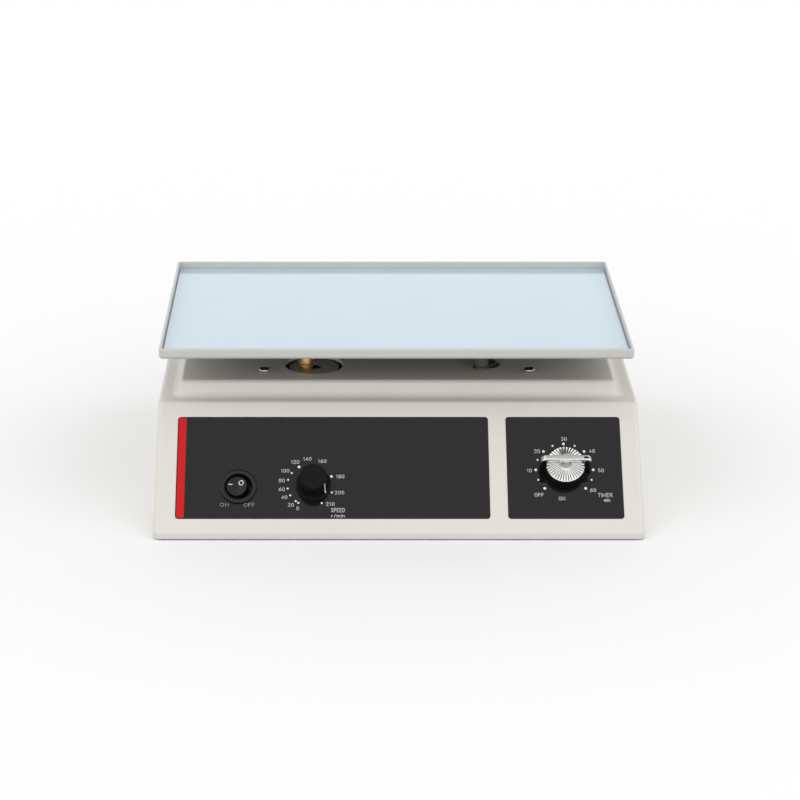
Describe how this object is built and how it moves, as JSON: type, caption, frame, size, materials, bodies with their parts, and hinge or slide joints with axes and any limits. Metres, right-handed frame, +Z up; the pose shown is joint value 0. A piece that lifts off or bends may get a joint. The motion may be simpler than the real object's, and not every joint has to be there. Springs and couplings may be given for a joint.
{
  "type": "orbital shaker",
  "caption": "Laboratory orbital shaker: a shallow matted tray carried in a circle on crank pins above a sloped control housing with a speed knob, a timer and a rocker switch.",
  "frame": {"origin": "on the bench, under the middle of the body's width and depth", "axes": "+Z up, -Y towards the user and the sloped control face, +X to the user's right"},
  "size_m": [0.328, 0.28, 0.1169],
  "materials": {
    "painted_shell": "satin",
    "zinc_plate": "satin",
    "foot_rubber": "matte",
    "screw_steel": "polished",
    "steel": "satin",
    "black_steel": "satin",
    "grey_steel": "satin",
    "grey_plastic": "satin",
    "rotor_grey": "satin",
    "brass": "polished",
    "black_plastic": "satin",
    "black_panel": "gloss",
    "signal_red": "gloss",
    "tray_grey": "satin",
    "pale_mat": "satin",
    "bright_cap": "polished",
    "grip_grey": "satin",
    "circuit_green": "satin",
    "core_and_coil": "matte"
  },
  "bodies": {
    "base": {"housing": "painted_shell", "base_plate": "zinc_plate", "foot_front_left": "foot_rubber", "foot_front_right": "foot_rubber", "foot_rear_left": "foot_rubber", "foot_rear_right": "foot_rubber", "base_screw_front_left": "screw_steel", "base_screw_front_right": "screw_steel", "base_screw_rear_left": "screw_steel", "base_screw_rear_right": "screw_steel", "control_panel": "black_panel", "red_stripe": "signal_red", "timer_panel": "black_panel", "switch_body": "black_plastic", "potentiometer": "zinc_plate", "potentiometer_nut": "steel", "timer_body": "zinc_plate", "timer_nut": "steel", "mounting_plate": "zinc_plate", "deck_screw_front_left": "screw_steel", "deck_screw_front_right": "screw_steel", "deck_screw_rear_left": "screw_steel", "deck_screw_rear_right": "screw_steel", "motor_bracket": "zinc_plate", "gear_motor": "zinc_plate", "idler_bearing_front_right": "grey_steel", "idler_bearing_rear_left": "grey_steel", "idler_bearing_rear_right": "grey_steel", "control_board": "circuit_green", "transformer": "core_and_coil", "power_inlet": "black_plastic", "fuse_holder": "black_plastic"},
    "rotor": {"motor_shaft": "steel", "rotor_disc": "rotor_grey", "rotor_screw": "black_steel", "crank_pin": "brass"},
    "idler_front_right": {"idler_crank_front_right": "grey_steel", "idler_pin_front_right": "steel"},
    "idler_rear_left": {"idler_crank_rear_left": "grey_steel", "idler_pin_rear_left": "steel"},
    "idler_rear_right": {"idler_crank_rear_right": "grey_steel", "idler_pin_rear_right": "steel"},
    "tray": {"tray": "tray_grey", "tray_mat": "pale_mat", "drive_bush": "brass", "idler_sleeve_front_right": "grey_plastic", "idler_sleeve_rear_left": "grey_plastic", "idler_sleeve_rear_right": "grey_plastic", "tray_screw_front_left": "screw_steel", "tray_screw_front_right": "screw_steel", "tray_screw_rear_left": "screw_steel", "tray_screw_rear_right": "screw_steel"},
    "rocker": {"switch_rocker": "black_plastic"},
    "speed_control": {"potentiometer_spindle": "steel", "speed_knob": "black_plastic"},
    "timer_control": {"timer_spindle": "steel", "timer_skirt": "black_plastic", "timer_cap": "bright_cap", "timer_grip": "grip_grey"}
  },
  "joints": [
    {"name": "drive_spin", "type": "hinge", "parent": "base", "child": "rotor", "pos_m": [-0.0578, -0.0215, 0.0827], "axis": [0, 0, 1], "continuous": true},
    {"name": "tray_turn", "type": "hinge", "parent": "rotor", "child": "tray", "pos_m": [-0.06339, -0.02979, 0.0981], "axis": [0, 0, 1], "continuous": true},
    {"name": "idler_spin_front_right", "type": "hinge", "parent": "base", "child": "idler_front_right", "pos_m": [0.0638, -0.0215, 0.0842], "axis": [0, 0, 1], "continuous": true},
    {"name": "idler_spin_rear_left", "type": "hinge", "parent": "base", "child": "idler_rear_left", "pos_m": [-0.0578, 0.0761, 0.0842], "axis": [0, 0, 1], "continuous": true},
    {"name": "idler_spin_rear_right", "type": "hinge", "parent": "base", "child": "idler_rear_right", "pos_m": [0.0638, 0.0761, 0.0842], "axis": [0, 0, 1], "continuous": true},
    {"name": "speed_knob_turn", "type": "hinge", "parent": "base", "child": "speed_control", "pos_m": [-0.0574, -0.11483, 0.0295], "axis": [0, -0.6916, 0.7222], "range_deg": [-26.9, 271.7]},
    {"name": "timer_knob_turn", "type": "hinge", "parent": "base", "child": "timer_control", "pos_m": [0.11195, -0.10652, 0.03746], "axis": [0, -0.6916, 0.7222], "range_deg": [-45, 270]},
    {"name": "power_switch_rock", "type": "hinge", "parent": "base", "child": "rocker", "pos_m": [-0.1077, -0.11466, 0.02759], "axis": [0, 0.7222, 0.6916], "range_deg": [0, 18]}
  ],
  "couplings": [
    {"joint": "tray_turn", "follows": "drive_spin", "ratio": -1},
    {"joint": "idler_spin_front_right", "follows": "drive_spin", "ratio": 1},
    {"joint": "idler_spin_rear_left", "follows": "drive_spin", "ratio": 1},
    {"joint": "idler_spin_rear_right", "follows": "drive_spin", "ratio": 1}
  ]
}
